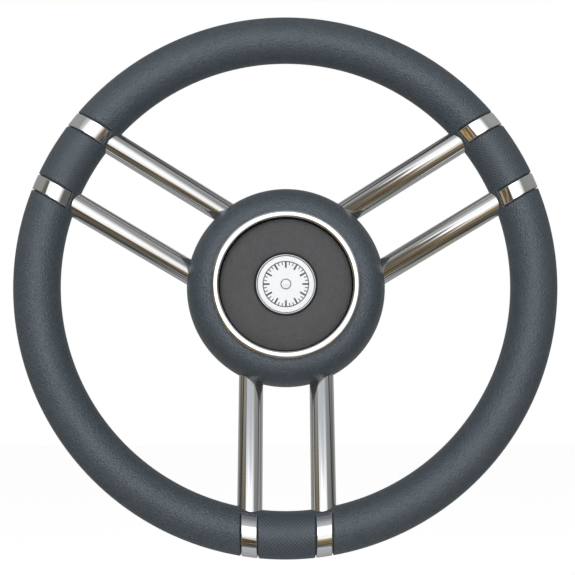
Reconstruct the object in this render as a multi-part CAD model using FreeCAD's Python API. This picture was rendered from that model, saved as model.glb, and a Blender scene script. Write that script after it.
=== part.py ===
"""Boat steering wheel with three pairs of tube spokes, a moulded rim and hub, and a push-fit centre cap.

The wheel's axis is Y and its front faces -Y, with +Z up as it hangs on the helm shaft.
The origin is on the axis, in the back face of the boss, where the shaft's taper enters.
"Forward" is the distance in front of that back face, so a point's Y is minus its forward.
"""
import FreeCAD, Part
import math
import os

from FreeCAD import Rotation, Vector

# Rim
WHEEL_DIAMETER = 350.0
GRIP_SECTION = 30.0
DISH = 64.0  # the rim's middle plane, forward of the boss's back face
CORE_SECTION = 20.0  # the bent steel tube inside the grip
CORE_WALL = 1.5

# Spokes
PAIRS = 3
PAIR_SPACING = 46.9  # between the two axes of a pair
TUBE_DIAMETER = 16.0
TUBE_WALL = 1.5
SPOKE_SLOPE = 18.5  # degrees, back from the rim to the hub
SPOKE_LIFT = 2.5  # the spokes aim this far in front of the rim's middle plane
VENT_DIAMETER = 6.0  # lets the welding gas out of each spoke into the core

# Bands on the rim, one at each spoke
BAND_WIDTH = 10.0
BAND_THICKNESS = 1.6
BAND_FRONT_END = 38.0  # degrees round the section, from its inner side to the band's front end
BAND_BACK_END = 54.0  # the same at the back, where the spoke comes in
BAND_EDGE = 0.7
BAND_GROOVE = 0.5  # between a band's sides and the grip

# Welded hub: a pressed cup on a turned boss
CUP_DIAMETER = 80.0
CUP_WALL = 3.0
CUP_FLOOR = 4.0
CUP_BACK = 10.0  # forward of the boss's back face
CUP_DEPTH = 35.0
CUP_BEND = 4.0  # outer radius between the cup's floor and wall
BOSS_DIAMETER = 44.0
BOSS_LENGTH = 28.0
BOSS_CHAMFER = 1.5
TAPER_MOUTH = 19.05  # three quarters of an inch at the boss's back face
TAPER_PER_LENGTH = 1.0 / 12.0  # on the diameter
KEYWAY_WIDTH = 4.76
KEYWAY_DEPTH = 2.4

# Moulded hub
HUB_DIAMETER = 133.5
HUB_WIDEST = 24.0  # where it is widest, forward of the boss's back face
HUB_LAND = 0.6  # flat strip between the trim ring and the front shoulder
HUB_FULLNESS = 1.2  # of its round shoulders: 0.71 is a quarter of an ellipse, more is fuller
HUB_BACK = 4.0
HUB_BACK_DIAMETER = 76.0

# Trim ring between the hub and the cap
RING_BORE = 87.6
RING_WIDTH = 4.6
RING_SPIGOT_WALL = 1.5
RING_FRONT = 60.0
RING_CROWN = 0.45  # how far its front is domed
RING_EDGE = 0.5
RING_SEAT = 56.0

# Centre cap
CAP_SEAT_GAP = 0.3
CARRIER_THICKNESS = 2.5
CARRIER_SPIGOT_WALL = 4.0
CARRIER_SPIGOT_DEPTH = 12.0
SPIGOT_GAP = 0.6  # between the spigot and the cup's wall
ORING_SECTION = 2.4
ORING_GAP = 0.3
PAD_GAP = 0.9  # between the pad's edge and the trim ring
PAD_SKIRT = 1.0  # the pad's wall round the carrier's edge
PAD_EDGE = 52.0
PAD_EDGE_ROUND = 1.2
PAD_LIP = 56.6  # the top of the soft lip round the badge
PAD_LIP_DIAMETER = 51.0
PAD_LIP_DROP = 0.8  # from the lip down to the badge
PAD_DOME_POWER = 2.0  # how the dome falls from the lip to the edge

# Badge in the cap
BADGE_DIAMETER = 39.8
BADGE_GAP = 0.2
BADGE_RECESS = 1.5  # below the pad's lip
BEZEL_WIDTH = 1.6
BEZEL_HEIGHT = 2.0
DISC_THICKNESS = 1.4
DISC_CROWN = 0.4

AXIS = Vector(0, 1, 0)
ORIGIN = Vector(0, 0, 0)
rim_radius = (WHEEL_DIAMETER - GRIP_SECTION) / 2
spoke_offset = PAIR_SPACING / 2
cup_front = CUP_BACK + CUP_DEPTH
cup_inner = CUP_DIAMETER / 2 - CUP_WALL
slope = math.radians(SPOKE_SLOPE)


def station(radius, forward):
    """The point of the section plane at this radius from the wheel's axis."""
    return Vector(radius, -forward, 0)


def polygon(corners):
    """Straight edges through the corners (radius, forward), closed."""
    points = [station(*corner) for corner in corners]
    return Part.makePolygon(points + points[:1]).Edges


def line(start, end):
    return Part.LineSegment(station(*start), station(*end)).toShape()


def arc(start, middle, end):
    return Part.Arc(station(*start), station(*middle), station(*end)).toShape()


def smooth(corners):
    curve = Part.BSplineCurve()
    curve.interpolate([station(*corner) for corner in corners])
    return curve.toShape()


def shoulder(start, corner, end):
    """A conic curve whose tangents at both ends meet in the corner."""
    curve = Part.BezierCurve()
    curve.setPoles([station(*start), station(*corner), station(*end)])
    curve.setWeight(2, HUB_FULLNESS)
    return curve.toShape()


def turned(edges):
    """The solid that a closed section makes when it turns once round the wheel's axis."""
    face = Part.Face(Part.Wire(Part.__sortEdges__(edges)))
    return face.revolve(ORIGIN, AXIS, 360)


def disc(radius, back, front):
    """A plain cylinder on the wheel's axis."""
    return Part.makeCylinder(radius, front - back, station(0, back), -AXIS)


def rounded(solid, size, stations):
    """Rounds the circular edges of a turned solid at these (radius, forward) stations."""
    edges = [
        edge
        for edge in solid.Edges
        for radius, forward in stations
        if isinstance(edge.Curve, Part.Circle)
        and abs(edge.Curve.Radius - radius) < 1e-4
        and abs(edge.Curve.Center.y + forward) < 1e-4
    ]
    return solid.makeFillet(size, edges)


def ring_sector(outer, inner):
    """A pair's share of a hollow ring, along +X, from its section's two radii."""
    middle = station(rim_radius, DISH)
    faces = [
        Part.Face(Part.Wire(Part.makeCircle(radius, middle, Vector(0, 0, 1))))
        for radius in (outer, inner)
        if radius > 0
    ]
    section = faces[0].cut(faces[1:])
    section.rotate(ORIGIN, AXIS, 180.0 / PAIRS)
    return section.revolve(ORIGIN, AXIS, -360.0 / PAIRS).Solids[0]


def all_round(sector):
    """One solid from the sectors of all the pairs."""
    sectors = [at_pair(sector, pair) for pair in range(PAIRS)]
    return sectors[0].fuse(sectors[1:])


def at_pair(shape, pair):
    """A copy turned from the +X direction to a pair's own: the first pair points down."""
    angle = 360.0 / PAIRS * pair - 90
    copy = shape.copy()
    copy.rotate(ORIGIN, AXIS, -angle)
    return copy


def spoke_axis(side):
    """Start and end of a spoke's centre line, for the pair along +X; side is -1 or 1."""
    reach = math.sqrt(rim_radius**2 - spoke_offset**2)
    end = Vector(reach, -(DISH + SPOKE_LIFT), side * spoke_offset)
    start = end - Vector(reach, -reach * math.tan(slope), 0)
    return start, end


def inside_cup():
    """All that lies within the cup's outer wall, which the spokes don't reach."""
    return disc(CUP_DIAMETER / 2, -DISH, 3 * DISH)


def rod(diameter, side):
    """A round bar along a spoke's centre line, from the cup to the rim's centre line."""
    start, end = spoke_axis(side)
    along = end - start
    return Part.makeCylinder(diameter / 2, along.Length, start, along).cut(inside_cup())


def spoke_tube(side):
    """A straight tube, coped to the cup at one end and to the core ring at the other."""
    tube = rod(TUBE_DIAMETER, side).cut(rod(TUBE_DIAMETER - 2 * TUBE_WALL, side))
    return tube.cut(ring_sector(CORE_SECTION / 2, 0)).Solids[0]


def rim_core_ring():
    """The closed ring of steel tube, with a vent hole under each spoke."""
    vents = []
    for side in (-1, 1):
        start, end = spoke_axis(side)
        vents.append(Part.makeCylinder(VENT_DIAMETER / 2, CORE_SECTION, end, start - end))
    return all_round(ring_sector(CORE_SECTION / 2, CORE_SECTION / 2 - CORE_WALL).cut(vents))


def on_section(radius, degrees):
    """A point of the rim's section, by its angle from the inner side towards the front."""
    angle = math.radians(degrees)
    return station(rim_radius - radius * math.cos(angle), DISH + radius * math.sin(angle))


def band_blank(inner, outer, margin, side):
    """A C-section ring's stretch at a spoke, wider and longer than the band by a margin."""
    width = BAND_WIDTH + 2 * margin
    spare = math.degrees(2 * margin / GRIP_SECTION)
    first = BAND_FRONT_END - spare
    last = 360 - BAND_BACK_END + spare
    sides = [
        Part.Arc(*[on_section(radius, angle) for angle in (first, 180, last)]).toShape()
        for radius in (inner, outer)
    ]
    ends = [
        Part.LineSegment(on_section(inner, angle), on_section(outer, angle)).toShape()
        for angle in (first, last)
    ]
    face = Part.Face(Part.Wire(Part.__sortEdges__(sides + ends)))
    middle = side * math.degrees(math.asin(spoke_offset / rim_radius))
    half_turn = math.degrees(2 * width / rim_radius)
    face.rotate(ORIGIN, AXIS, -middle - half_turn)
    stretch = face.revolve(ORIGIN, AXIS, 2 * half_turn)
    corner = Vector(0, -DISH - GRIP_SECTION, side * spoke_offset - width / 2)
    slab = Part.makeBox(WHEEL_DIAMETER, 2 * GRIP_SECTION, width, corner)
    return stretch.common(slab)


def rim_band(side):
    """A polished band bent round the grip, open on the inner side where the spoke comes in."""
    outer = GRIP_SECTION / 2
    shell = band_blank(outer - BAND_THICKNESS, outer, 0, side).Solids[0]
    edges = [edge for edge in shell.Edges if all(on_grip(point) for point in edge.discretize(5))]
    return shell.makeFillet(BAND_EDGE, edges)


def on_grip(point):
    """Is the point on the grip's outer surface?"""
    from_axis = math.hypot(point.x, point.z) - rim_radius
    return abs(math.hypot(from_axis, point.y + DISH) - GRIP_SECTION / 2) < 1e-4


def rim_grip():
    """The moulded rim round the core ring, with a groove for each band."""
    floor = GRIP_SECTION / 2 - BAND_THICKNESS
    past_skin = GRIP_SECTION / 2 + BAND_THICKNESS
    sector = ring_sector(GRIP_SECTION / 2, CORE_SECTION / 2)
    sector = sector.cut([band_blank(floor, past_skin, BAND_GROOVE, side) for side in (-1, 1)])
    return all_round(sector.cut([rod(TUBE_DIAMETER, side) for side in (-1, 1)]))


def hub_boss():
    """The turned boss: a keyed taper right through, and a flat front face for the shaft nut."""
    outer = BOSS_DIAMETER / 2
    mouth = TAPER_MOUTH / 2
    throat = mouth - BOSS_LENGTH * TAPER_PER_LENGTH / 2
    body = turned(
        polygon(
            [
                (mouth, 0),
                (outer - BOSS_CHAMFER, 0),
                (outer, BOSS_CHAMFER),
                (outer, BOSS_LENGTH),
                (throat, BOSS_LENGTH),
            ]
        )
    )
    keyway = Part.makeBox(
        KEYWAY_WIDTH, BOSS_LENGTH, mouth + KEYWAY_DEPTH, Vector(-KEYWAY_WIDTH / 2, -BOSS_LENGTH, 0)
    )
    return body.cut(keyway)


def hub_cup():
    """The pressed steel cup that the spokes are welded to, with a hole in its floor for the boss."""
    outer = CUP_DIAMETER / 2
    cup = turned(
        polygon(
            [
                (BOSS_DIAMETER / 2, CUP_BACK),
                (outer, CUP_BACK),
                (outer, cup_front),
                (cup_inner, cup_front),
                (cup_inner, CUP_BACK + CUP_FLOOR),
                (BOSS_DIAMETER / 2, CUP_BACK + CUP_FLOOR),
            ]
        )
    )
    cup = rounded(cup, CUP_BEND, [(outer, CUP_BACK)])
    return rounded(cup, CUP_BEND - CUP_WALL, [(cup_inner, CUP_BACK + CUP_FLOOR)])


def hub_moulding():
    """The soft hub, moulded round the cup, the boss and the spokes' inner ends."""
    side = HUB_DIAMETER / 2
    back = HUB_BACK_DIAMETER / 2
    front = RING_BORE / 2 + RING_WIDTH + HUB_LAND
    section = [
        line((0, HUB_BACK), (back, HUB_BACK)),
        shoulder((back, HUB_BACK), (side, HUB_BACK), (side, HUB_WIDEST)),
        shoulder((side, HUB_WIDEST), (side, RING_SEAT), (front, RING_SEAT)),
        line((front, RING_SEAT), (0, RING_SEAT)),
        line((0, RING_SEAT), (0, HUB_BACK)),
    ]
    body = turned(section)
    opening = RING_BORE / 2 + RING_SPIGOT_WALL
    cup_outer = CUP_DIAMETER / 2
    tools = [
        disc(BOSS_DIAMETER / 2, -1, BOSS_LENGTH),
        rounded(disc(cup_outer, CUP_BACK, RING_FRONT), CUP_BEND, [(cup_outer, CUP_BACK)]),
        disc(opening, cup_front, RING_FRONT),
    ]
    rods = [rod(TUBE_DIAMETER, side) for side in (-1, 1)]
    return body.cut(tools + [at_pair(bar, pair) for pair in range(PAIRS) for bar in rods])


def hub_trim_ring():
    """The polished ring: a slightly domed band on a short spigot in the hub's opening."""
    inner = RING_BORE / 2
    outer = inner + RING_WIDTH
    step = inner + RING_SPIGOT_WALL
    middle = (inner + outer) / 2
    corner = RING_FRONT - RING_CROWN
    foot = cup_front + CAP_SEAT_GAP
    section = [
        line((inner, foot), (inner, corner)),
        arc((inner, corner), (middle, RING_FRONT), (outer, corner)),
        line((outer, corner), (outer, RING_SEAT)),
        line((outer, RING_SEAT), (step, RING_SEAT)),
        line((step, RING_SEAT), (step, foot)),
        line((step, foot), (inner, foot)),
    ]
    return rounded(turned(section), RING_EDGE, [(inner, corner), (outer, corner)])


pad_radius = RING_BORE / 2 - PAD_GAP
carrier_radius = pad_radius - PAD_SKIRT
carrier_back = cup_front + CAP_SEAT_GAP
carrier_front = carrier_back + CARRIER_THICKNESS
spigot_radius = cup_inner - SPIGOT_GAP
oring_radius = cup_inner - ORING_GAP - ORING_SECTION / 2
oring_forward = carrier_back - CARRIER_SPIGOT_DEPTH / 2
recess_radius = BADGE_DIAMETER / 2 + BADGE_GAP
recess_floor = PAD_LIP - BADGE_RECESS


def cap_carrier():
    """The stiff disc under the pad, with a spigot that pushes into the cup."""
    inner = spigot_radius - CARRIER_SPIGOT_WALL
    foot = carrier_back - CARRIER_SPIGOT_DEPTH
    body = turned(
        polygon(
            [
                (0, carrier_back),
                (inner, carrier_back),
                (inner, foot),
                (spigot_radius, foot),
                (spigot_radius, carrier_back),
                (carrier_radius, carrier_back),
                (carrier_radius, carrier_front),
                (0, carrier_front),
            ]
        )
    )
    groove = Part.makeTorus(oring_radius, ORING_SECTION / 2, station(0, oring_forward), AXIS)
    mouth = disc(spigot_radius + 1, oring_forward - ORING_SECTION / 2, oring_forward + ORING_SECTION / 2)
    mouth = mouth.cut(disc(oring_radius, 0, RING_FRONT))
    return body.cut([groove, mouth])


def cap_o_ring():
    """The rubber ring that grips the cup's wall and holds the cap in."""
    return Part.makeTorus(oring_radius, ORING_SECTION / 2, station(0, oring_forward), AXIS)


def pad_top():
    """Stations over the pad from the badge to the edge: up to the lip, then down as a dome."""
    lip = PAD_LIP_DIAMETER / 2
    shares = [0, 0.5, 1]
    inner = [
        (recess_radius + (lip - recess_radius) * share, PAD_LIP - PAD_LIP_DROP * (1 - share) ** 2)
        for share in shares
    ]
    outer = [
        (lip + (pad_radius - lip) * share, PAD_LIP - (PAD_LIP - PAD_EDGE) * share**PAD_DOME_POWER)
        for share in shares
    ]
    return inner + outer[1:]


def cap_pad():
    """The padded cover: domed to a soft lip, inside which the badge is let in."""
    top = pad_top()
    section = [
        line((0, carrier_front), (carrier_radius, carrier_front)),
        line((carrier_radius, carrier_front), (carrier_radius, carrier_back)),
        line((carrier_radius, carrier_back), (pad_radius, carrier_back)),
        line((pad_radius, carrier_back), top[-1]),
        smooth(top),
        line(top[0], (recess_radius, recess_floor)),
        line((recess_radius, recess_floor), (0, recess_floor)),
        line((0, recess_floor), (0, carrier_front)),
    ]
    return rounded(turned(section), PAD_EDGE_ROUND, [top[-1]])


def badge_bezel():
    """The thin bright ring round the badge."""
    outer = BADGE_DIAMETER / 2
    inner = outer - BEZEL_WIDTH
    bead = BEZEL_WIDTH / 2
    top = recess_floor + BEZEL_HEIGHT
    section = [
        line((inner, recess_floor), (inner, top - bead)),
        arc((inner, top - bead), (inner + bead, top), (outer, top - bead)),
        line((outer, top - bead), (outer, recess_floor)),
        line((outer, recess_floor), (inner, recess_floor)),
    ]
    return turned(section)


def badge_disc():
    """The plate inside the bezel, slightly crowned."""
    edge = BADGE_DIAMETER / 2 - BEZEL_WIDTH
    top = recess_floor + DISC_THICKNESS
    crown_radius = (edge**2 + DISC_CROWN**2) / (2 * DISC_CROWN)
    halfway = top + DISC_CROWN - crown_radius + math.sqrt(crown_radius**2 - edge**2 / 4)
    section = [
        line((0, recess_floor), (edge, recess_floor)),
        line((edge, recess_floor), (edge, top)),
        arc((edge, top), (edge / 2, halfway), (0, top + DISC_CROWN)),
        line((0, top + DISC_CROWN), (0, recess_floor)),
    ]
    return turned(section)


PAIR_NAMES = ["lower", "upper_right", "upper_left"]
SIDE_NAMES = {-1: "a", 1: "b"}


def pieces():
    """Every piece of the wheel by its name."""
    found = {
        "rim_core_ring": rim_core_ring(),
        "rim_grip": rim_grip(),
        "hub_boss": hub_boss(),
        "hub_cup": hub_cup(),
        "hub_moulding": hub_moulding(),
        "hub_trim_ring": hub_trim_ring(),
        "cap_carrier": cap_carrier(),
        "cap_o_ring": cap_o_ring(),
        "cap_pad": cap_pad(),
        "badge_bezel": badge_bezel(),
        "badge_disc": badge_disc(),
    }
    for side, letter in SIDE_NAMES.items():
        tube = spoke_tube(side)
        band = rim_band(side)
        for pair in range(PAIRS):
            name = PAIR_NAMES[pair] if pair < len(PAIR_NAMES) else f"pair_{pair + 1}"
            found[f"spoke_tube_{name}_{letter}"] = at_pair(tube, pair)
            found[f"rim_band_{name}_{letter}"] = at_pair(band, pair)
    return found


os.makedirs("parts", exist_ok=True)
for name, shape in pieces().items():
    solids = shape.Solids
    print(f"{name}: {len(solids)} solid, {shape.Volume / 1000:.2f} cm3, valid {shape.isValid()}")
    (solids[0] if len(solids) == 1 else shape).exportStep(f"parts/{name}.step")
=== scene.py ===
# %% [markdown]
# # A boat steering wheel
#
# The wheel comes in from its construction model as a fixed frame of named pieces.
# This lesson gives each of them its finish, makes the rim's grip, the cap's cover and the
# trim ring anew as fine surfaces, adds the badge's dial, and lights the wheel as a shop
# would photograph it: front on, on white.
# The wheel's axis is Y, its front faces -Y, and +Z is up. All sizes are in metres.

# %% Load the frame
import math

import bmesh
import bpy
import numpy as np
from mathutils import Matrix, Vector


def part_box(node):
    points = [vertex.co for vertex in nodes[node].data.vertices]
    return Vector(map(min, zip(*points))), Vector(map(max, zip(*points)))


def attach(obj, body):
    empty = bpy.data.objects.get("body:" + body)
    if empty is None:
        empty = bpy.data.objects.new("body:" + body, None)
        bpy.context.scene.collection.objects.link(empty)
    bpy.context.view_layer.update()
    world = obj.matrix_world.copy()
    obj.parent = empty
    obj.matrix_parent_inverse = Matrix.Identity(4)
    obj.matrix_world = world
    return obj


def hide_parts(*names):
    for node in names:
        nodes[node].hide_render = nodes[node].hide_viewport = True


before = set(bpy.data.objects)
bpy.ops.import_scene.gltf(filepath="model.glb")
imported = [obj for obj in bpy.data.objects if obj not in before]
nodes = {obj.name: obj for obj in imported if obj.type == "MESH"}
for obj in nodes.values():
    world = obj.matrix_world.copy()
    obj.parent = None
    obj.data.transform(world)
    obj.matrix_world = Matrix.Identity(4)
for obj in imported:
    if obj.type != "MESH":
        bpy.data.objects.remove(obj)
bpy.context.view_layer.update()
MM = 0.001
DEGREES = 180 / math.pi  # in one radian
print("pieces in the frame:", len(nodes))

# %% [markdown]
# The main sizes are read off the frame, so the new surfaces land where the old ones were.
# A few more, which no outline box can give, are named here.

# %% Sizes
grip_low, grip_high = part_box("rim_grip")
GRIP_RADIUS = round((grip_high.y - grip_low.y) / 2, 4)
DISH = -round((grip_high.y + grip_low.y) / 2, 4)
RIM_RADIUS = round(grip_high.x, 4) - GRIP_RADIUS
PAIRS = 3  # pairs of spokes, evenly round the wheel
FIRST_PAIR = -90.0  # degrees: the way from the axis to the lower pair
PAIR_SPAN = 360.0 / PAIRS
SPOKE_OFFSET = 23.45 * MM
BAND_WIDTH = 10 * MM
BAND_THICKNESS = 1.6 * MM
BAND_GROOVE = 0.5 * MM
BAND_FRONT_END = 38.0  # degrees round the section, from its inner side to the band's front end
BAND_BACK_END = 306.0
print("rim radius", RIM_RADIUS, "grip radius", GRIP_RADIUS, "dish", DISH)

# %% [markdown]
# A surface here is a grid of points: one number runs along it, the other across it.
# The points are worked out for the whole grid at once, and the faces only say which
# neighbours join. A closed surface's volume tells whether its faces look outwards,
# and they are turned over if not.

# %% From a grid of points to a piece
WELD = 1e-7  # points nearer to one another than this become one


def grid_faces(rows, columns, wrap_rows=False, wrap_columns=False):
    """Quads between neighbouring points; a wrap joins the last line to the first."""
    row, column = np.meshgrid(
        np.arange(rows - (not wrap_rows)), np.arange(columns - (not wrap_columns)), indexing="ij"
    )
    below, right = (row + 1) % rows, (column + 1) % columns
    corners = [(row, column), (below, column), (below, right), (row, right)]
    return np.stack([r * columns + c for r, c in corners], -1).reshape(-1, 4)


def volume_of(points, quads):
    """Six times the signed volume: each quad as two triangles, seen from the origin."""
    a, b, c, d = (points[quads[:, k]] for k in range(4))
    return np.einsum("ij,ij->", a, np.cross(b, c)) + np.einsum("ij,ij->", a, np.cross(c, d))


def facing_out(points, quads):
    """The quads, turned over if the closed surface's volume comes out negative."""
    return quads[:, ::-1] if volume_of(points.reshape(-1, 3), quads) < 0 else quads


def make_piece(name, points, quads, material, body, replaces=(), flat=False):
    """Puts a closed grid into a mesh that faces outwards, smooth unless it is to be flat,
    and on its body."""
    points = points.reshape(-1, 3)
    quads = facing_out(points, quads)
    mesh = bpy.data.meshes.new(name)
    mesh.from_pydata(points.tolist(), [], quads.tolist())
    welded = bmesh.new()
    welded.from_mesh(mesh)
    bmesh.ops.remove_doubles(welded, verts=welded.verts, dist=WELD)
    welded.to_mesh(mesh)
    welded.free()
    mesh.polygons.foreach_set("use_smooth", np.full(len(mesh.polygons), not flat))
    mesh.materials.append(material)
    piece = bpy.data.objects.new(name, mesh)
    bpy.context.scene.collection.objects.link(piece)
    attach(piece, body)
    if replaces:
        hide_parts(*replaces)
    print(f"{name}: {len(mesh.polygons)} faces")
    return piece


def turned(profile, count):
    """A closed profile of (radius, forward) carried round the wheel's axis, as a grid."""
    angle = np.linspace(0, 2 * np.pi, count, endpoint=False)[:, None]
    radius, forward = profile[:, 0], profile[:, 1]
    points = np.stack([radius * np.cos(angle), -forward + 0 * angle, radius * np.sin(angle)], -1)
    return points, grid_faces(count, len(profile), True, True)


# %% [markdown]
# ## Finishes
#
# A finish is written as sums on sockets. The class below wraps one socket, so that
# `1 - mask` or `height * 0.3` adds the Math node it stands for, and one method adds
# any other node from its type, its settings and its inputs.

# %% Sockets that add up
class Value:
    """A shader socket that plain sums work on."""

    def __init__(self, tree, socket):
        self.tree, self.socket = tree, socket

    def output(self, name):
        """Another output of the node that this value comes from."""
        return Value(self.tree, self.socket.node.outputs[name])

    def maths(self, operation, *others):
        """A Math node on this value and the others, in that order."""
        return self.tree.add("Math", {"operation": operation}, self, *others)

    def __add__(self, other):
        return self.maths("ADD", other)

    def __sub__(self, other):
        return self.maths("SUBTRACT", other)

    def __rsub__(self, other):
        return self.tree.add("Math", {"operation": "SUBTRACT"}, other, self)

    def __mul__(self, other):
        return self.maths("MULTIPLY", other)

    def __truediv__(self, other):
        return self.maths("DIVIDE", other)

    def __lt__(self, other):
        return self.maths("LESS_THAN", other)

    __radd__ = __add__
    __rmul__ = __mul__


class Finish:
    """A node tree under construction: a material's, or the world's."""

    def __init__(self, name, owner=None):
        self.owner = owner or bpy.data.materials.new(name)
        self.owner.use_nodes = True
        self.nodes, self.links = self.owner.node_tree.nodes, self.owner.node_tree.links
        self.nodes.clear()

    def add(self, kind, settings, *inputs, out=0, **named):
        """A node of that type: its settings first, then its inputs in order or by name."""
        node = self.nodes.new("ShaderNode" + kind)
        for key, value in settings.items():
            if key == "stops":
                set_stops(node.color_ramp, value)
            else:
                setattr(node, key, value)
        for key, value in [*enumerate(inputs), *named.items()]:
            socket = node.inputs[key.replace("_", " ") if isinstance(key, str) else key]
            if isinstance(value, Value):
                self.links.new(value.socket, socket)
            elif value is not None:
                socket.default_value = value
        return Value(self, node.outputs[out]) if node.outputs else None

    def place(self):
        """Where a point of the piece is, in millimetres."""
        where = self.add("TexCoord", {}, out="Object")
        return self.add("VectorMath", {"operation": "SCALE"}, where, Scale=1 / MM)

    def mix(self, share, a, b):
        """Colour a, turned into colour b by the share. The node has five inputs for numbers
        and vectors between its share and its two colours, and they stay as they are."""
        passed_over = [None] * 5
        return self.add("Mix", {"data_type": "RGBA"}, share, *passed_over, a, b, out=2)

    def bump(self, height, distance):
        """Raises the surface by the height, in millimetres times the distance."""
        return self.add("Bump", {}, Strength=1.0, Distance=distance * MM, Height=height)

    def surface(self, **named):
        """The Principled shader, into the output."""
        shader = self.add("BsdfPrincipled", {}, **named)
        self.add("OutputMaterial", {}, shader)
        return self.owner


def set_stops(ramp, stops):
    """A ramp's stops as (place, colour) pairs."""
    while len(ramp.elements) < len(stops):
        ramp.elements.new(0.5)
    for element, (place, colour) in zip(ramp.elements, stops):
        element.position = place
        element.color = (*colour, 1)


def parts_of(finish, vector):
    """The X, Y and Z of a vector, as three values."""
    split = finish.add("SeparateXYZ", {}, vector)
    return [split.output(axis) for axis in "XYZ"]


# %% [markdown]
# ### The soft moulding
#
# Rim and hub are one blue-grey polyurethane skin with a leather grain: small rounded
# cells with soft creases between them. A picture of leather could be wrapped round them,
# but it would stretch on the ring's inner side. Voronoi distance gives the cells in space
# instead, so they are the same size everywhere, and noise makes some deeper than others.

# %% Leather grain
GRAIN_CELL = 1.2  # millimetres
GRAIN_WANDER = 1.0  # millimetres that noise pushes the cells about
GRAIN_SHALLOW = 0.25  # the height that the shallowest cells have
GRAIN_SPREAD = 1.1  # how much more the deepest ones have
PORES = 0.3  # the fine noise's share of the height
TONE_DRIFT = 0.3
# Low heights, the creases, take a darker colour: painted shade.
TONE_RANGE = (0.2, 0.95)  # the heights that take the creases' and the ridges' colour


def leather_height(finish, cell):
    """Rounded cells with creases, from 0 to about 1."""
    place = finish.place()
    drift = finish.add("TexNoise", {}, place, Scale=0.35, Detail=2.0, out="Color")
    wander = finish.add("VectorMath", {"operation": "MULTIPLY_ADD"}, drift, (GRAIN_WANDER,) * 3, place)
    cells = finish.add("TexVoronoi", {"feature": "SMOOTH_F1"}, wander, Scale=1 / cell, Smoothness=0.4)
    depth = finish.add("TexNoise", {}, place, Scale=0.16, Detail=3.0)
    fine = finish.add("TexNoise", {}, place, Scale=1.2 / cell, Detail=1.0)
    return (1 - cells) * (depth * GRAIN_SPREAD + GRAIN_SHALLOW) + (fine - 0.5) * PORES


def soft_colour(finish, height, valley_shade, ridge):
    """Creases painted a little darker as painted shade, and a slow random drift of tone."""
    drift = finish.add("TexNoise", {}, finish.place(), Scale=0.04, Detail=3.0)
    share = finish.add("MapRange", {}, height + drift * TONE_DRIFT, *TONE_RANGE, 0.0, 1.0)
    return finish.mix(share, valley_shade, ridge)


print("leather grain: cells of", GRAIN_CELL, "mm")

# %% [markdown]
# Between the two bands of a pair the mould had a diamond mesh instead of the leather.
# The mesh follows the ring, so its place comes from two angles: one round the wheel and
# one round the section. It could be modelled, but dots this small would cost far more
# faces than the whole rim, and a bump shows them as well.

# %% Diamond mesh
MESH_ALONG = 2.46  # a diamond's length along the ring, in millimetres
MESH_AROUND = 2.72
MESH_FADE = (0.4, 1.2)  # millimetres from the groove's shoulder over which the mesh sets in
DOT_RISE = (-0.15, 0.55)  # the waves' product at a dot's foot and at its top
GROOVE_ROUND = 1.0 * MM
GROOVE_HALF = BAND_WIDTH / 2 + BAND_GROOVE


def diamond_mesh(finish):
    """Staggered dots: the product of one wave along the ring and one round the section,
    faded out where the nearest pair's bands are."""
    x, y, z = parts_of(finish, finish.place())
    radius = (x * x + z * z).maths("SQRT")
    section = (-1 * y - DISH / MM).maths("ARCTAN2", RIM_RADIUS / MM - radius)
    way_round = z.maths("ARCTAN2", x) * DEGREES + (PAIR_SPAN / 2 - FIRST_PAIR)
    from_pair = ((way_round / PAIR_SPAN).maths("FRACT") * PAIR_SPAN - PAIR_SPAN / 2) * (1 / DEGREES)
    along = from_pair * (RIM_RADIUS / MM)
    across = (radius * from_pair.maths("SINE")).maths("ABSOLUTE")
    around = 2 * math.pi * GRIP_RADIUS / MM
    waves = (along * (2 * math.pi / MESH_ALONG)).maths("COSINE")
    waves = waves * (section * round(around / MESH_AROUND)).maths("COSINE")
    edge = (SPOKE_OFFSET - GROOVE_HALF - GROOVE_ROUND) / MM
    fade = [edge - step for step in MESH_FADE]
    inside = finish.add("MapRange", {}, across, *fade, 0.0, 1.0)
    dots = finish.add("MapRange", {}, waves, *DOT_RISE, 0.0, 1.0)
    return inside, dots


print("diamond mesh:", MESH_ALONG, "by", MESH_AROUND, "mm")

# %% [markdown]
# The skin's look is mostly relief: the creases are painted a little darker, as painted shade,
# and the ridges, which hands and moulds polish, are a little smoother. The rim's grain is
# deeper than the hub's.

# %% Soft moulding
RIM_GRAIN_DEPTH = 0.40
HUB_GRAIN_DEPTH = 0.32
MESH_HEIGHT = 0.30
MESH_COVERS = 0.8  # the share of the leather grain that the mesh takes away
# The creases' colour below is painted shade, darker than the ridges' colour.
VALLEY_SHADE = (0.056, 0.073, 0.087, 1)
RIDGE = (0.085, 0.103, 0.119, 1)
# The mesh's colour between its dots is painted shade, darker than on the dots.
MESH_VALLEY_SHADE = (0.055, 0.070, 0.084, 1)
MESH_RIDGE = (0.090, 0.109, 0.126, 1)
SOFT_ROUGHNESS = 0.41
SOFT_IOR = 1.46


def soft_moulding(name, depth, with_mesh=False):
    """The grained skin, with the diamond mesh between each pair's bands if asked."""
    finish = Finish(name)
    height = leather_height(finish, GRAIN_CELL)
    # The creases take painted shade from the height.
    colour = soft_colour(finish, height, VALLEY_SHADE, RIDGE)
    if with_mesh:
        inside, dots = diamond_mesh(finish)
        height = height * (1 - MESH_COVERS * inside) + dots * inside * MESH_HEIGHT
        # Between its dots the mesh is painted darker, as painted shade.
        colour = finish.mix(inside, colour, finish.mix(dots, MESH_VALLEY_SHADE, MESH_RIDGE))
    return finish.surface(
        Base_Color=colour,
        Roughness=height * -0.10 + SOFT_ROUGHNESS,
        Normal=finish.bump(height, depth),
        IOR=SOFT_IOR,
    )


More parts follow.
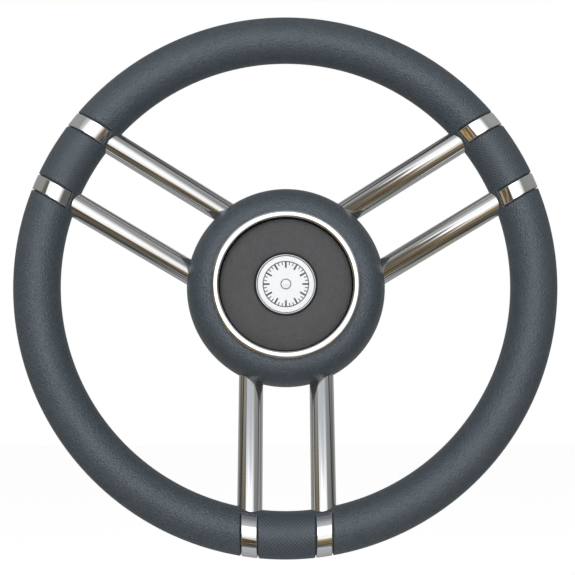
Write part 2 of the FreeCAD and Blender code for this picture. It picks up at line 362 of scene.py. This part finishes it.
soft_grain = soft_moulding("soft_moulding_grain", HUB_GRAIN_DEPTH)
soft_mesh = soft_moulding("soft_moulding_mesh", RIM_GRAIN_DEPTH, with_mesh=True)
print("made", soft_grain.name, "and", soft_mesh.name)

# %% [markdown]
# ### Steel
#
# The tubes, bands and trim ring are polished stainless steel. A mirror shows what stands
# round it, so the finish itself is little more than a bright metal with a faint haze and
# ripple. Both are noise of one scale in every direction, because a buffing wheel leaves
# no grain. The boss, the cup and the ring inside the rim are bare steel with fine rings
# round the axis: noise of one number, the radius, draws them.

# %% Steel
MIRROR_ROUGHNESS = 0.03
MIRROR_HAZE = 0.04
MIRROR_RIPPLE = 0.0012
LATHE_ROUGHNESS = 0.25
LATHE_BLOTCH = 0.15
LATHE_RING_DEPTH = 0.02


def polished_steel(name, colour):
    """A mirror whose tint and sharpness drift a little."""
    finish = Finish(name)
    cloud = finish.add("TexNoise", {}, finish.place(), Scale=0.05, Detail=5.0)
    ripple = finish.add("TexNoise", {}, finish.place(), Scale=1.3, Detail=3.0)
    return finish.surface(
        Base_Color=finish.mix(cloud, (*(0.97 * c for c in colour), 1), (*colour, 1)),
        Metallic=1.0,
        Roughness=cloud * MIRROR_HAZE + MIRROR_ROUGHNESS,
        Normal=finish.bump(ripple, MIRROR_RIPPLE),
    )


def turned_steel(name):
    """Bare steel with fine rings round the wheel's axis, as a lathe leaves it."""
    finish = Finish(name)
    place = finish.place()
    x, _, z = parts_of(finish, place)
    radius = (x * x + z * z).maths("SQRT")
    rings = finish.add("TexNoise", {"noise_dimensions": "1D"}, W=radius, Scale=6.0, Detail=3.0)
    blotch = finish.add("TexNoise", {}, place, Scale=0.12, Detail=4.0)
    return finish.surface(
        Base_Color=finish.mix(blotch, (0.50, 0.49, 0.47, 1), (0.62, 0.61, 0.59, 1)),
        Metallic=1.0,
        Roughness=blotch * LATHE_BLOTCH + LATHE_ROUGHNESS,
        Normal=finish.bump(rings, LATHE_RING_DEPTH),
    )


steel = polished_steel("polished_steel", (0.86, 0.862, 0.86))
dark_steel = polished_steel("bezel_steel", (0.36, 0.36, 0.37))
lathe_steel = turned_steel("plain_steel")
print("made", steel.name, dark_steel.name, "and", lathe_steel.name)

# %% [markdown]
# ### Plastic, rubber and enamel
#
# The cap's carrier, its rubber ring and the dial's enamel are plain moulded or printed
# surfaces. One even noise breaks up each one's colour, gloss and surface at its own scale,
# which is all that shows on them from near by.

# %% Plastic, rubber and enamel
def moulded(name, colour, roughness, cell, depth):
    """A plain surface with a fine even texture: cell is its scale and depth its relief."""
    finish = Finish(name)
    fine = finish.add("TexNoise", {}, finish.place(), Scale=1 / cell, Detail=3.0)
    return finish.surface(
        Base_Color=finish.mix(fine, (*(0.8 * c for c in colour), 1), (*colour, 1)),
        Roughness=fine * 0.1 + roughness,
        Normal=finish.bump(fine, depth),
    )


carrier_plastic = moulded("carrier_plastic", (0.035, 0.035, 0.037), roughness=0.5, cell=0.4, depth=0.03)
o_ring_rubber = moulded("o_ring_rubber", (0.022, 0.022, 0.022), roughness=0.45, cell=0.8, depth=0.01)
dial_enamel = moulded("dial_enamel", (0.025, 0.027, 0.030), roughness=0.3, cell=0.5, depth=0.004)
print("made", carrier_plastic.name, o_ring_rubber.name, "and", dial_enamel.name)

# %% [markdown]
# ### Pad cover and badge plate
#
# The pad's cover is a matt skin in a neutral dark grey, with a finer and shallower leather
# grain than the rim's, so the same grain serves with a smaller cell. The badge's plate is
# bright and nearly white. It shows nothing of the room, so it is a smooth pale coat here
# and not a mirror.

# %% Pad cover and badge plate
PAD_CELL = 0.7
PAD_DEPTH = 0.10
# The pad's crease colour is painted shade, darker than its ridges' colour.
PAD_VALLEY_SHADE = (0.056, 0.056, 0.059, 1)
PAD_RIDGE = (0.092, 0.091, 0.095, 1)
PAD_ROUGHNESS = 0.62


def pad_cover():
    """Fine leather grain, matt, with painted shade in its creases."""
    finish = Finish("pad_cover")
    grain = leather_height(finish, PAD_CELL)
    return finish.surface(
        Base_Color=soft_colour(finish, grain, PAD_VALLEY_SHADE, PAD_RIDGE),
        Roughness=grain * -0.06 + PAD_ROUGHNESS,
        Normal=finish.bump(grain, PAD_DEPTH),
        IOR=SOFT_IOR,
    )


def badge_plate():
    """Smooth near-white, with a trace of unevenness in its gloss."""
    finish = Finish("badge_plate")
    fine = finish.add("TexNoise", {}, finish.place(), Scale=0.5, Detail=4.0)
    return finish.surface(
        Base_Color=finish.mix(fine, (0.93, 0.94, 0.95, 1), (0.96, 0.97, 0.98, 1)),
        Roughness=fine * 0.08 + 0.15,
        Normal=finish.bump(fine, 0.002),
    )


pad_finish = pad_cover()
plate_finish = badge_plate()
print("made", pad_finish.name, "and", plate_finish.name)

# %% [markdown]
# ## Dressing the frame
#
# The frame's pieces keep their own meshes, and only their material changes. Most are
# polished steel, so the table names the others alone. The two soft pieces that are made
# anew further on are in it too, so that no piece is left without its finish.

# %% Dress the pieces
NOT_POLISHED = {
    "rim_grip": soft_mesh,
    "hub_moulding": soft_grain,
    "rim_core_ring": lathe_steel,
    "hub_boss": lathe_steel,
    "hub_cup": lathe_steel,
    "cap_carrier": carrier_plastic,
    "cap_o_ring": o_ring_rubber,
    "cap_pad": pad_finish,
    "badge_bezel": dark_steel,
    "badge_disc": plate_finish,
}
for name, node in nodes.items():
    node.data.materials.clear()
    node.data.materials.append(NOT_POLISHED.get(name, steel))
print(len(NOT_POLISHED), "pieces with finishes of their own,", len(nodes) - len(NOT_POLISHED), "polished")

# %% [markdown]
# ## The rim's grip
#
# The grip is one ring of soft moulding, with a groove let in for each band. It could be a
# torus with the grooves cut out of it, but a cut leaves sharp, ragged edges on a fine mesh,
# so ring and grooves are one surface here. A point of it has two numbers: its column,
# which says how far it is along the ring, and its angle round the section, from the inner
# side over the front. Near a pair of spokes the columns are cut by planes that lie along
# the spokes, as the grooves' walls are, and between two pairs they turn little by little.
# A groove is a depth taken off the section's radius: its shoulders are rounded off a
# millimetre wide, because soft moulding has no sharp edge.

# %% Grip's grooves
SHOULDER_POINTS = 6
FLOOR_COLUMNS = 5
BETWEEN_COLUMNS = 35  # in the gap between two bands; these counts include both ends
LONG_COLUMNS = 62  # from one pair of spokes to the next
GROOVE_ROWS = 112
SKIN_ROWS = 38
PAIR_STEP = 2 * np.pi / PAIRS
WALL_FOOT = 1.02  # a groove's wall leans in by a fiftieth of its shoulder
FLOOR_SHARE = 0.8  # of the groove's width, over which its floor's columns are spread


def shoulder():
    """How far along the shoulder, from 0 to 1, and how deep: a quarter round and then a wall."""
    turn = np.linspace(0, np.pi / 2, SHOULDER_POINTS)
    depth = (1 - np.cos(turn)) * GROOVE_ROUND / BAND_THICKNESS
    return np.append(np.sin(turn), WALL_FOOT), np.append(depth, 1.0)


def groove_columns():
    """Distances across one band's groove from its middle, and the share of full depth at each."""
    along, depth = shoulder()
    edge = GROOVE_HALF + GROOVE_ROUND * (1 - along)
    floor = np.linspace(-FLOOR_SHARE, FLOOR_SHARE, FLOOR_COLUMNS) * GROOVE_HALF
    shares = [depth, np.ones(FLOOR_COLUMNS), depth[::-1]]
    return np.concatenate([-edge, floor, edge[::-1]]), np.concatenate(shares)


def grip_columns():
    """A pair's columns: the gap between its bands, both grooves, and nothing more."""
    across, depth = groove_columns()
    reach = SPOKE_OFFSET - GROOVE_HALF - GROOVE_ROUND
    between = np.linspace(-reach, reach, BETWEEN_COLUMNS)[1:-1]
    places = np.concatenate([across - SPOKE_OFFSET, between, across + SPOKE_OFFSET])
    return places, np.concatenate([depth, np.zeros(len(between)), depth])


def grip_rows():
    """Angles round the section, closer together at the grooves' ends, and their share of depth."""
    along, depth = shoulder()
    spare = math.degrees(BAND_GROOVE / GRIP_RADIUS)
    width = math.degrees(GROOVE_ROUND / GRIP_RADIUS)
    first, last = BAND_FRONT_END - spare, BAND_BACK_END + spare
    start = first - width * (1 - along)
    end = last + width * (1 - along[::-1])
    floor = np.linspace(start[-1], end[0], GROOVE_ROWS)[1:-1]
    skin = np.linspace(end[-1], 360 + start[0], SKIN_ROWS)[1:-1]
    angles = np.concatenate([start, floor, end, skin])
    shares = np.concatenate([depth, np.ones(len(floor)), depth[::-1], np.zeros(len(skin))])
    return np.radians(angles), shares


print("grip:", len(grip_columns()[0]), "columns at each pair,", len(grip_rows()[0]), "rows round the section")

# %% Grip
def all_the_way_round(turn):
    """A pair's columns, then columns that turn evenly from its last one to the next pair's
    first, and the same again for each pair."""
    blend = np.linspace(0, 1, LONG_COLUMNS)[1:-1, None]
    long_turn = turn[-1] + (PAIR_STEP + turn[0] - turn[-1]) * blend
    turn = np.concatenate([turn, long_turn])
    return np.concatenate([turn + math.radians(FIRST_PAIR) + k * PAIR_STEP for k in range(PAIRS)])


def rim_grip():
    """Radius from the wheel's axis = ring radius - section radius x cos(angle), forward = dish
    + section radius x sin(angle), where the section radius is the grip's less the depth. Near
    a pair, the way round the ring is asin(distance / radius) off the pair's own direction."""
    places, column_depth = grip_columns()
    angles, row_depth = grip_rows()
    section = GRIP_RADIUS - BAND_THICKNESS * column_depth[:, None] * row_depth
    turn = all_the_way_round(np.arcsin(places[:, None] / (RIM_RADIUS - section * np.cos(angles))))
    plain = np.full((LONG_COLUMNS - 2, len(angles)), GRIP_RADIUS)
    section = np.tile(np.concatenate([section, plain]), (PAIRS, 1))
    radius = RIM_RADIUS - section * np.cos(angles)
    forward = DISH + section * np.sin(angles)
    points = np.stack([radius * np.cos(turn), -forward, radius * np.sin(turn)], -1)
    quads = grid_faces(*turn.shape, True, True)
    make_piece("rim_grip_moulded", points, quads, soft_mesh, "wheel", ["rim_grip"])


rim_grip()

# %% [markdown]
# ## The cap's padded cover
#
# The cap is covered with a padded skin: a shallow dome with a soft lip round the badge,
# and an edge that rolls over. A cylinder with its edge bevelled would look like a hard lid.
# The cover is turned from a profile instead, in which the dome, the lip and both rolls are
# separate sizes. Underneath it is hollow for the stiff carrier.

# %% Pad
pad_low, pad_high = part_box("cap_pad")
carrier_low, carrier_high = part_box("cap_carrier")
_, bezel_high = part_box("badge_bezel")
PAD_EDGE = 54.5 * MM  # forward of the origin, where the dome meets the rolled edge
PAD_LIP_RADIUS = 25.5 * MM
PAD_LIP_DROP = 0.8 * MM
PAD_ROLL = 0.4 * MM
PAD_INNER_ROLL = 1.3 * MM
BADGE_GAP = 0.2 * MM
PAD_SWELL = 0.35 * MM  # how far the padding stands out past the plain solid's side
PAD_RADIUS = pad_high.x + PAD_SWELL
PAD_RECESS = bezel_high.x + BADGE_GAP
ROLL_POINTS = 8
DOME_POINTS = 40
PAD_STEPS = 240  # round the axis


def pad_top(radius):
    """Forward of the cover's top: up in a soft curve from the badge to the lip, then down
    with the cube of the share of the way out, and over a quarter round at each edge."""
    inner = np.clip((PAD_LIP_RADIUS - radius) / (PAD_LIP_RADIUS - PAD_RECESS), 0, 1)
    outer = np.clip((radius - PAD_LIP_RADIUS) / (PAD_RADIUS - PAD_LIP_RADIUS), 0, 1)
    past = np.clip(radius - (PAD_RADIUS - PAD_ROLL), 0, PAD_ROLL)
    roll = PAD_ROLL - np.sqrt(PAD_ROLL**2 - past**2)
    past = np.clip(PAD_RECESS + PAD_INNER_ROLL - radius, 0, PAD_INNER_ROLL)
    roll = roll + PAD_INNER_ROLL - np.sqrt(PAD_INNER_ROLL**2 - past**2)
    return -pad_low.y - PAD_LIP_DROP * inner**2 - (-pad_low.y - PAD_EDGE) * outer**3 - roll


def cap_cover():
    """The closed section: the top from the badge outwards, the skirt, and the hollow under it."""
    turn = np.linspace(0, np.pi / 2, ROLL_POINTS)
    inner_roll = PAD_RECESS + PAD_INNER_ROLL * (1 - np.cos(turn))
    dome = np.linspace(PAD_RECESS + PAD_INNER_ROLL, PAD_RADIUS - PAD_ROLL, DOME_POINTS)[1:-1]
    outer_roll = PAD_RADIUS - PAD_ROLL * (1 - np.sin(turn))
    radius = np.concatenate([inner_roll, dome, outer_roll])
    top = np.stack([radius, pad_top(radius)], -1)
    hidden = [
        (PAD_RADIUS, -pad_high.y),
        (carrier_high.x, -pad_high.y),
        (carrier_high.x, -carrier_low.y),
        (0, -carrier_low.y),
        (0, -bezel_high.y),
        (PAD_RECESS, -bezel_high.y),
    ]
    points, quads = turned(np.concatenate([top, hidden]), PAD_STEPS)
    cover = make_piece("cap_cover", points, quads, pad_finish, "centre_cap", ["cap_pad"])


cap_cover()

# %% [markdown]
# ## The trim ring
#
# A polished bead lies between the hub and the cap. Polished work shows every change of
# curvature, and a flat front with rounded edges has four of them, so the bead is turned
# again with a half-ellipse for its front, which has no corner anywhere.

# %% Trim ring
ring_low, ring_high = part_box("hub_trim_ring")
RING_BORE_RADIUS = 43.8 * MM
RING_SPIGOT = 1.5 * MM
RING_SEAT = 56 * MM
RING_BEAD = 1.1 * MM
BEAD_POINTS = 41
RING_STEPS = 360


def trim_ring():
    """Radius = middle - half width x cos(turn), forward = edge + bead x sin(turn) for the
    front; then the outer side, the seat on the hub and the spigot in the hub's opening."""
    half = (ring_high.x - RING_BORE_RADIUS) / 2
    turn = np.linspace(0, np.pi, BEAD_POINTS)
    radius = RING_BORE_RADIUS + half * (1 - np.cos(turn))
    front = np.stack([radius, -ring_low.y - RING_BEAD * (1 - np.sin(turn))], -1)
    spigot = RING_BORE_RADIUS + RING_SPIGOT
    back = [
        (ring_high.x, RING_SEAT),
        (spigot, RING_SEAT),
        (spigot, -ring_high.y),
        (RING_BORE_RADIUS, -ring_high.y),
    ]
    points, quads = turned(np.concatenate([front, back]), RING_STEPS)
    make_piece("trim_ring_turned", points, quads, steel, "wheel", ["hub_trim_ring"])


trim_ring()

# %% [markdown]
# ## The badge
#
# The badge is a bright plate with a black dial on it: a ring and thirty-six short strokes,
# every third one longer, round a small ring in the middle. A texture could draw them, but
# enamel stands a tenth of a millimetre proud of the plate's crown, and as a mesh it stays
# sharp from any distance.

# %% Dial
disc_low, disc_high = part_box("badge_disc")
DISC_CROWN = 0.4 * MM
ENAMEL = 0.1 * MM
DIAL_RADIUS = 14.8 * MM
DIAL_LINE = 0.6 * MM
CENTRE_RING_RADIUS = 3.2 * MM
STROKES = 36
LONG_STROKE = 4.2 * MM
LONG_HALF_WIDTH = 0.55 * MM
SHORT_STROKE = 2.2 * MM
SHORT_HALF_WIDTH = 0.28 * MM
DIAL_STEPS = 144


def plate_front(radius):
    """Forward of the plate at a radius: a shallow dome."""
    return -disc_low.y - DISC_CROWN * (radius / disc_high.x) ** 2


def dial_strokes():
    """Each stroke is a small block along its own radius: inner and outer end, left and
    right side, under and above the plate's front."""
    angle = np.arange(STROKES) * 2 * np.pi / STROKES
    long = np.arange(STROKES) % 3 == 0
    inner = DIAL_RADIUS - np.where(long, LONG_STROKE, SHORT_STROKE)
    half = np.where(long, LONG_HALF_WIDTH, SHORT_HALF_WIDTH)
    corners = []
    for height in (-ENAMEL, ENAMEL):
        for end, side in ((0, -1), (1, -1), (1, 1), (0, 1)):
            radius = inner + end * (DIAL_RADIUS - inner)
            across = side * half
            x = radius * np.sin(angle) + across * np.cos(angle)
            z = radius * np.cos(angle) - across * np.sin(angle)
            corners.append(np.stack([x, -(plate_front(radius) + height), z], -1))
    block = [(0, 1, 2, 3), (7, 6, 5, 4), (0, 4, 5, 1), (1, 5, 6, 2), (2, 6, 7, 3), (3, 7, 4, 0)]
    quads = np.array(block) + 8 * np.arange(STROKES)[:, None, None]
    return np.stack(corners, 1).reshape(-1, 3), quads.reshape(-1, 4)


def dial_ring(radius):
    """A flat ring of enamel on the plate."""
    inner, outer = radius - DIAL_LINE / 2, radius + DIAL_LINE / 2
    stations = [(inner, -1), (outer, -1), (outer, 1), (inner, 1)]
    profile = np.array([(r, plate_front(r) + side * ENAMEL) for r, side in stations])
    points, quads = turned(profile, DIAL_STEPS)
    return points.reshape(-1, 3), quads


def badge_dial():
    """Strokes and rings in one mesh: each one's faces count on from the points before it."""
    parts = [dial_strokes(), dial_ring(DIAL_RADIUS), dial_ring(CENTRE_RING_RADIUS)]
    starts = np.cumsum([0] + [len(points) for points, _ in parts])
    every_point = np.concatenate([points for points, _ in parts])
    every_quad = np.concatenate([facing_out(*part) + start for part, start in zip(parts, starts)])
    make_piece("badge_dial", every_point, every_quad, dial_enamel, "centre_cap", flat=True)


badge_dial()

# %% [markdown]
# ## Camera
#
# The wheel was seen from a little below its axis, so the trim ring and the pad sit off
# centre in the hub. The camera stands where the outlines of rim, ring and cap agree with
# that view, and a small lens shift puts the wheel where it is in the picture.

# %% Camera
VIEW_DISTANCE = 0.750
VIEW_PITCH = -0.0952
VIEW_YAW = 0.0014
VIEW_ROLL = -0.0049
LENS = 72.85
SENSOR = 36
PICTURE = 575  # pixels each way
LENS_AXIS = (298.94, 282.68)  # the pixel that the lens points at
AIM_OFFSET = Vector((8.42 * MM, 0, 0.15 * MM))  # what it points at, from the rim's centre
rim_centre = Vector((0, -DISH, 0))


def aimed(place, target):
    """At the place, with -Z towards the target and Y up."""
    turn = (target - place).to_track_quat("-Z", "Y").to_matrix().to_4x4()
    return Matrix.Translation(place) @ turn


def put_camera():
    """On a sphere round the rim's centre, at the view's yaw and pitch."""
    level = math.cos(VIEW_PITCH)
    way = Vector((math.sin(VIEW_YAW) * level, -math.cos(VIEW_YAW) * level, math.sin(VIEW_PITCH)))
    eye = rim_centre + VIEW_DISTANCE * way
    camera = bpy.data.objects.new("camera", bpy.data.cameras.new("camera"))
    bpy.context.scene.collection.objects.link(camera)
    camera.data.sensor_width = SENSOR
    camera.data.lens = LENS
    camera.data.shift_x = (PICTURE / 2 - LENS_AXIS[0]) / PICTURE
    camera.data.shift_y = (LENS_AXIS[1] - PICTURE / 2) / PICTURE
    camera.matrix_world = aimed(eye, rim_centre + AIM_OFFSET) @ Matrix.Rotation(VIEW_ROLL, 4, "Z")
    bpy.context.scene.camera = camera
    print("camera at", [round(v, 3) for v in eye])


put_camera()

# %% [markdown]
# ## Light
#
# A pale studio: two broad soft lamps in front, a dim even world, and white behind the
# wheel. The lamps don't show in the steel, which has a room of its own further on.

# %% Lamps
LAMP_SIZE = 1.1


def lamp(name, place, power):
    """A square soft lamp that shines on the rim's centre."""
    light = bpy.data.lights.new(name, "AREA")
    light.size = LAMP_SIZE
    light.energy = power
    holder = bpy.data.objects.new(name, light)
    bpy.context.scene.collection.objects.link(holder)
    holder.matrix_world = aimed(Vector(place), rim_centre)
    holder.visible_glossy = False
    print(name, power, "W")


lamp("key_lamp", (-0.6, -1.35, 0.70), 12.8)
lamp("fill_lamp", (0.7, -1.4, -0.25), 9.0)

# %% [markdown]
# ## The room in the steel
#
# Polished steel is as bright as the room that it shows, so a white room would leave it
# white on white. Its light, dark and golden streaks ask for a bright opening in front, a
# darker wall beside it, grey sides and brown ground. A whole room could be modelled, but
# a dome that glows in those tones is enough. Only reflections show it: to the camera and
# to the soft light it isn't there. It stands close round the wheel, so that the two ends
# of one straight tube show different parts of it. Each list below goes from straight
# down, -90 degrees, to straight up, in one direction of the room.

# %% Tones of the room
SKY = [(70, (0.17, 0.17, 0.19)), (90, (0.14, 0.14, 0.16))]
DECK = [(-90, (0.36, 0.37, 0.41)), (-70, (0.44, 0.45, 0.50)), (-64, (0.09, 0.09, 0.08))]
DOORWAY = [
    *DECK,
    (-50, (0.16, 0.13, 0.08)),
    (-36, (0.22, 0.17, 0.10)),
    (-28, (0.97, 0.96, 0.94)),
    (-10, (0.98, 0.99, 1.0)),
    (24, (0.98, 0.99, 1.0)),
    (32, (0.50, 0.52, 0.55)),
    (50, (0.36, 0.37, 0.38)),
    *SKY,
]
WALL = [
    *DECK,
    (-40, (0.11, 0.08, 0.05)),
    (-6, (0.12, 0.105, 0.09)),
    (22, (0.12, 0.11, 0.09)),
    (36, (0.33, 0.33, 0.32)),
    (43, (0.50, 0.50, 0.48)),
    (50, (0.34, 0.34, 0.33)),
    *SKY,
]
FAR_LEFT = [
    *DECK,
    (-30, (0.10, 0.10, 0.10)),
    (11, (0.10, 0.095, 0.085)),
    (16, (0.22, 0.17, 0.10)),
    (25, (0.27, 0.27, 0.26)),
    (50, (0.34, 0.34, 0.33)),
    (58, (0.20, 0.20, 0.20)),
    *SKY,
]
RIGHT = [
    *DECK,
    (-40, (0.12, 0.12, 0.11)),
    (8, (0.12, 0.12, 0.115)),
    (18, (0.23, 0.23, 0.225)),
    (42, (0.33, 0.33, 0.33)),
    (58, (0.18, 0.18, 0.18)),
    *SKY,
]
BACK = [
    (-90, (0.40, 0.41, 0.44)),
    (-55, (0.32, 0.32, 0.32)),
    (-30, (0.27, 0.27, 0.27)),
    (46, (0.32, 0.32, 0.32)),
    (51, (0.08, 0.08, 0.08)),
    (58, (0.08, 0.08, 0.08)),
    (64, (0.40, 0.40, 0.40)),
    (90, (0.20, 0.20, 0.22)),
]
WARM_GROUND = (0.42, 0.29, 0.13, 1)
DARK_GROUND = (0.03, 0.025, 0.02, 1)
DAYLIGHT = (2.5, 2.56, 2.62, 1)  # the middle of the doorway: it gives the soft moulding its sheen
print("tones of the doorway:", len(DOORWAY), "from straight down to straight up")

# %% [markdown]
# Where one part of the room gives way to the next, the two tones cross over a few degrees.
# Each pair below is the angle at which the part begins to show and the one from which it
# shows in full. Azimuths count from the camera's side towards +X.

# %% Edges of the room
SWAY = 10.0  # degrees that noise moves the edges by, in all
WALL_EDGE = (-23.5, -25.5)  # the doorway's left edge, which leans
WALL_LEAN = 0.61
FAR_LEFT_EDGE = (-50, -62)
RIGHT_EDGE = (25, 43)
BACK_EDGE = (112, 132)
GROUND_TOP = (-20, -28)
GROUND_TOP_BESIDE = (8, -8)  # beside the doorway the ground reaches higher up
GROUND_FOOT = (-64, -56)
DAYLIGHT_SIDES = (24, 12)
DAYLIGHT_TOP = (30, 20)
DAYLIGHT_FOOT = (-16, -4)
FIRST_REFLECTION = 1.5  # a ray's depth is 1 after its first surface and 2 after its second
STREAK_STRETCH = (1.0, 1.0, 4.5)  # noise that is squeezed upwards lies in level streaks


def between(tree, value, start, end):
    """0 before the start, 1 past the end, and a soft step between them."""
    return tree.add("MapRange", {"interpolation_type": "SMOOTHSTEP"}, value, start, end, 0.0, 1.0)


def room_angles(tree, way):
    """The azimuth and the elevation of a direction, in degrees, with the same sway in both."""
    x, y, z = parts_of(tree, way)
    sway = tree.add("TexNoise", {}, way, Scale=2.5, Detail=3.0) * SWAY - SWAY / 2
    elevation = z.maths("ARCSINE") * DEGREES + sway
    azimuth = x.maths("ARCTAN2", -1 * y) * DEGREES + sway
    return azimuth, elevation


def streaks(tree, way, scale, low, high):
    """Level streaks of noise, from 0 to 1."""
    level = tree.add("VectorMath", {"operation": "MULTIPLY"}, way, STREAK_STRETCH)
    noise = tree.add("TexNoise", {}, level, Scale=scale, Detail=4.0)
    return between(tree, noise, low, high)


def tone_by_height(tree, elevation, stops):
    """One direction's tones, as a ramp from straight down to straight up."""
    shares = [((degrees + 90) / 180, colour) for degrees, colour in stops]
    return tree.add("ValToRGB", {"stops": shares}, elevation / 180 + 0.5)


def ground_share(tree, elevation, beside):
    """How far the ground shows: below the doorway, and from higher up beside it."""
    ground = between(tree, elevation, *GROUND_TOP)
    ground = ground.maths("MAXIMUM", beside * between(tree, elevation, *GROUND_TOP_BESIDE))
    return ground * between(tree, elevation, *GROUND_FOOT)


def daylight_share(tree, azimuth, elevation):
    """How far the daylight shows. It is in first reflections alone, because a reflection of
    a reflection would put hard glints on the hub beside the tubes."""
    share = between(tree, azimuth.maths("ABSOLUTE"), *DAYLIGHT_SIDES)
    share = share * between(tree, elevation, *DAYLIGHT_TOP) * between(tree, elevation, *DAYLIGHT_FOOT)
    return share * (tree.add("LightPath", {}, out="Ray Depth") < FIRST_REFLECTION)


def room_tone(tree, way):
    """The dome's colour in a direction: one part of the room over another, then the warm and
    the dark streaks on the ground, the daylight, and the back of the room over all."""
    azimuth, elevation = room_angles(tree, way)
    doorway, wall, far_left, right, back = (
        tone_by_height(tree, elevation, stops) for stops in (DOORWAY, WALL, FAR_LEFT, RIGHT, BACK)
    )
    beside = between(tree, azimuth + elevation * WALL_LEAN, *WALL_EDGE)
    left = tree.mix(between(tree, azimuth, *FAR_LEFT_EDGE), wall, far_left)
    tone = tree.mix(between(tree, azimuth, *RIGHT_EDGE), doorway, right)
    tone = tree.mix(beside, tone, left)
    ground = ground_share(tree, elevation, beside)
    warm = streaks(tree, way, scale=3.0, low=0.50, high=0.60)
    dark = streaks(tree, way, scale=5.0, low=0.54, high=0.62)
    tone = tree.mix(ground * warm, tone, WARM_GROUND)
    tone = tree.mix(ground * dark, tone, DARK_GROUND)
    tone = tree.mix(daylight_share(tree, azimuth, elevation), tone, DAYLIGHT)
    return tree.mix(between(tree, azimuth.maths("ABSOLUTE"), *BACK_EDGE), tone, back)


print("the doorway is", RIGHT_EDGE[0] - WALL_EDGE[0], "degrees wide in front of the wheel")

# %% [markdown]
# The dome is a sphere of points, given by their directions from the rim's centre. It is
# hidden from every kind of ray but the glossy one.

# %% Room for the mirrors
ROOM_RADIUS = 1.2
ROOM_GLOW = 1.12
ROOM_COLUMNS = 48
ROOM_ROWS = 25


def room():
    """X = sin(polar) x cos(azimuth), Y = sin(polar) x sin(azimuth), Z = cos(polar), times the
    room's radius."""
    azimuth = np.linspace(0, 2 * np.pi, ROOM_COLUMNS, endpoint=False)[:, None]
    polar = np.linspace(0, np.pi, ROOM_ROWS)
    x, y, z = np.sin(polar) * np.cos(azimuth), np.sin(polar) * np.sin(azimuth), np.cos(polar) + 0 * azimuth
    points = ROOM_RADIUS * np.stack([x, y, z], -1).reshape(-1, 3)
    mesh = bpy.data.meshes.new("room")
    mesh.from_pydata(points.tolist(), [], grid_faces(ROOM_COLUMNS, ROOM_ROWS, True, False).tolist())
    dome = bpy.data.objects.new("room", mesh)
    dome.location = rim_centre
    bpy.context.scene.collection.objects.link(dome)
    for kind in ("camera", "diffuse", "transmission", "shadow", "volume_scatter"):
        setattr(dome, "visible_" + kind, False)
    tree = Finish("room")
    way = tree.add("VectorMath", {"operation": "NORMALIZE"}, tree.place())
    tone = room_tone(tree, way)
    tree.add("OutputMaterial", {}, tree.add("Emission", {}, tone, ROOM_GLOW))
    mesh.materials.append(tree.owner)
    print("room:", 2 * ROOM_RADIUS, "m across")


room()

# %% [markdown]
# ## White behind the wheel
#
# The background is white because the world and the floor show as white to the camera, not
# because more light falls on them, which would also flood the wheel. To every other ray
# the world is a dim even light, and the floor is a pale surface that takes the shadow.

# %% World and floor
WORLD_GLOW = 0.22
FLOOR_DROP = 0.45
FLOOR_HALF = 8
FLOOR_COLOUR = (0.8, 0.8, 0.8, 1)
FLOOR_GLOW = 0.8
WHITE = (1, 1, 1, 1)


def shown(tree):
    """1 for rays from the camera, off a mirror or through glass, and 0 for all others."""
    path = tree.add("LightPath", {}, out="Is Camera Ray")
    rays = path + path.output("Is Glossy Ray") + path.output("Is Transmission Ray")
    return rays.maths("MINIMUM", 1.0)


def white_world():
    """Full white to the rays that show it, and a plain soft light to the others."""
    world = bpy.data.worlds.new("white")
    bpy.context.scene.world = world
    tree = Finish("white", world)
    strength = shown(tree) * (1 - WORLD_GLOW) + WORLD_GLOW
    tree.add("OutputWorld", {}, tree.add("Background", {}, WHITE, strength))


def pale_floor():
    """A wide square under the wheel: pale by itself, and brought up to white by a glow that
    lights nothing, so a shadow still darkens it."""
    corners = np.array([(-1, -1, 0), (1, -1, 0), (1, 1, 0), (-1, 1, 0)], float) * FLOOR_HALF
    mesh = bpy.data.meshes.new("floor")
    mesh.from_pydata((corners - (0, 0, FLOOR_DROP)).tolist(), [], [(0, 1, 2, 3)])
    floor = bpy.data.objects.new("floor", mesh)
    bpy.context.scene.collection.objects.link(floor)
    tree = Finish("floor")
    diffuse = tree.add("BsdfDiffuse", {}, FLOOR_COLOUR)
    glow = tree.add("Emission", {}, WHITE, shown(tree) * FLOOR_GLOW)
    tree.add("OutputMaterial", {}, tree.add("AddShader", {}, diffuse, glow))
    mesh.materials.append(tree.owner)
    floor.visible_glossy = False


white_world()
pale_floor()
bpy.context.scene.view_settings.view_transform = "Standard"
print("floor", FLOOR_DROP, "m under the origin, world at", WORLD_GLOW)
